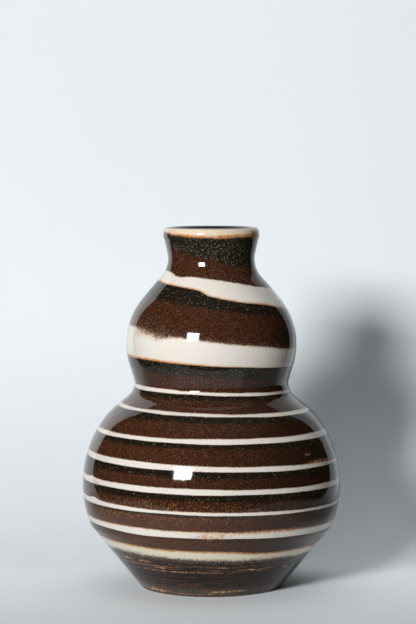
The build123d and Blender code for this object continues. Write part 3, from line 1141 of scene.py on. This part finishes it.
# painted shade: greyer at the ends of the lying part, in the bend, at the front and on the right
both_ends = work_out(paper_tree, "MAXIMUM", across_paper("x", LEFT_END), across_paper("x", RIGHT_END))
shade = times(paper_tree, both_ends, across_paper("z", LYING))
in_bend = times(paper_tree, across_paper("z", BEND_RISE, BEND_SHADE), across_paper("y", BEND_DEPTH))
bend_shade = times(paper_tree, in_bend, across_paper("x", BEND_LEFT))
front_shade = across_paper("y", TO_FRONT, FRONT_SHADE)
right_shade = across_paper("x", TO_RIGHT, RIGHT_SHADE)
for part_shade in (right_shade, bend_shade, front_shade):
    shade = work_out(paper_tree, "MAXIMUM", shade, part_shade)
paper_colour = mix_colours(paper_tree, shade, paper_white, PAPER_SHADED)
paper_tree.links.new(paper_colour, paper_shader.inputs["Base Color"])
paper_shader.inputs["Roughness"].default_value = PAPER_ROUGHNESS
paper_shader.inputs["Specular IOR Level"].default_value = PAPER_SHINE
see_through = place_node(paper_tree, "ShaderNodeBsdfTransparent")
from_behind = place_node(paper_tree, "ShaderNodeNewGeometry").outputs["Backfacing"]
paper_faces = {0: from_behind, 1: paper_shader.outputs[0], 2: see_through.outputs[0]}
paper_mix = place_node(paper_tree, "ShaderNodeMixShader", paper_faces)
paper_tree.links.new(paper_mix.outputs[0], paper_tree.nodes["Material Output"].inputs["Surface"])
paper.data.materials.append(paper_finish)
print("paper colour:", PAPER_LEFT[:3], "to", PAPER_RIGHT[:3])

# %% [markdown]
# ## The dark room and the floor beyond
# The room round the set was dark, and the glaze shows that as the deep colour in the middle of the pot. A
# large ball stands for it, almost black, with a pale ceiling straight above and a little stray light from
# the sides. The glaze mirrors a tenth of the ceiling and none of the stray light. The camera looks through
# the ball, and only reflections and stray light meet it. The floor beyond the paper is for the camera
# alone, so that other views have a pale ground.

# %% Hang the dark room and lay the far floor
ROOM_RADIUS = 4.0
ROOM_DARK = (0.022, 0.018, 0.014, 1)
ROOM_STRAY_LEFT = (0.02, 0.02, 0.02, 1)
ROOM_STRAY_RIGHT = (0.06, 0.06, 0.06, 1)
ROOM_CEILING = (0.80, 0.80, 0.80, 1)
BESIDE = (-0.6, 0.1)             # shares of the radius between which each light comes in
OVERHEAD = (0.70, 0.98)
RIGHT_SIDE = (-0.3, 0.8)
HIDDEN_SHARE = 0.9               # how much of the ceiling the glaze doesn't mirror
FLOOR_HALF_WIDTH = 3.5
FLOOR_DROP = 0.0006
FLOOR_PALE = (0.70, 0.74, 0.77, 1)


def let_glow(tree, colour):
    """Makes a material shine with a colour of its own."""
    glow = place_node(tree, "ShaderNodeEmission", {"Color": colour, "Strength": 1.0})
    tree.links.new(glow.outputs[0], tree.nodes["Material Output"].inputs["Surface"])


room_shape = bmesh.new()
bmesh.ops.create_icosphere(room_shape, subdivisions=3, radius=ROOM_RADIUS)
room = put_in_scene(room_shape, "dark_room")
room.visible_camera = False
room_finish, room_tree = start_finish("dark_cloth")
room_place = place_node(room_tree, "ShaderNodeTexCoord").outputs["Object"]
rightwards, backwards, upwards = sides_of(room_tree, room_place)


def across_room(way, between):
    """A smooth rise one way across the room, between two shares of its radius."""
    return ramp_between(room_tree, way, between[0] * ROOM_RADIUS, between[1] * ROOM_RADIUS)


beside = across_room(backwards, BESIDE)
overhead = across_room(upwards, OVERHEAD)
to_right = across_room(rightwards, RIGHT_SIDE)
glossy_ray = place_node(room_tree, "ShaderNodeLightPath").outputs["Is Glossy Ray"]
unmirrored = work_out(room_tree, "SUBTRACT", 1.0, glossy_ray)
mostly_unmirrored = work_out(room_tree, "MULTIPLY_ADD", glossy_ray, -HIDDEN_SHARE, 1.0)
stray_beside = mix_colours(room_tree, to_right, ROOM_STRAY_LEFT, ROOM_STRAY_RIGHT)
stray = mix_colours(room_tree, times(room_tree, beside, unmirrored), ROOM_DARK, stray_beside)
stray = mix_colours(room_tree, times(room_tree, overhead, mostly_unmirrored), stray, ROOM_CEILING)
let_glow(room_tree, stray)
room.data.materials.append(room_finish)

floor_shape = bmesh.new()
bmesh.ops.create_grid(floor_shape, x_segments=1, y_segments=1, size=FLOOR_HALF_WIDTH)
bmesh.ops.translate(floor_shape, verts=floor_shape.verts[:], vec=(0, 0, -FLOOR_DROP))
floor = put_in_scene(floor_shape, "far_floor")
floor.visible_diffuse = False
floor.visible_glossy = False
floor_finish, floor_tree = start_finish("pale_floor")
let_glow(floor_tree, FLOOR_PALE)
floor.data.materials.append(floor_finish)
print("room radius:", ROOM_RADIUS)

# %% [markdown]
# ## Light
# The highlights on belly and bulb are small rectangles. Following them back from the camera gives the
# softbox: about 1.45 metres away, 26 degrees to the left of the camera and 17 degrees up, about 40 by 31
# centimetres. It also throws the soft shadow on the paper to the right. The lamp behind its cloth makes
# most of it brighter than its edges, a little above the middle, so it counts as a second and smaller light.
# The world is a plain pale ground for views that look past the paper.

# %% Place the softbox
SOFTBOX_PLACE = Vector((-0.613, -1.276, 0.522))
SOFTBOX_AIM = Vector((0, -0.03, 0.09))
SOFTBOX_WIDTH = 0.395
SOFTBOX_HEIGHT = 0.31
CLOTH_POWER = 10.5
LAMP_POWER = 16.0
LAMP_SHARE = 0.75                # the lamp behind the cloth lights up this share of its width and height
LAMP_SHIFT = Vector((0.008, 0.02, -0.002))
WORLD_PALE = (0.80, 0.85, 0.89, 1)
softbox_turn = (SOFTBOX_AIM - SOFTBOX_PLACE).to_track_quat("-Z", "Y")
lights = (
    ("softbox_cloth", 1.0, CLOTH_POWER, Vector((0, 0, 0))),
    ("softbox_lamp", LAMP_SHARE, LAMP_POWER, LAMP_SHIFT),
)
for light_name, share, power, shift in lights:
    light_data = bpy.data.lights.new(light_name, "AREA")
    light_data.shape = "RECTANGLE"
    light_data.size = SOFTBOX_WIDTH * share
    light_data.size_y = SOFTBOX_HEIGHT * share
    light_data.energy = power
    light = bpy.data.objects.new(light_name, light_data)
    light.location = SOFTBOX_PLACE + softbox_turn @ shift
    light.rotation_euler = softbox_turn.to_euler()
    scene.collection.objects.link(light)
world = bpy.data.worlds.new("pale_ground")
world.use_nodes = True
world.node_tree.nodes["Background"].inputs["Color"].default_value = WORLD_PALE
world.node_tree.nodes["Background"].inputs["Strength"].default_value = 1.0
scene.world = world
print("softbox power:", CLOTH_POWER + LAMP_POWER)
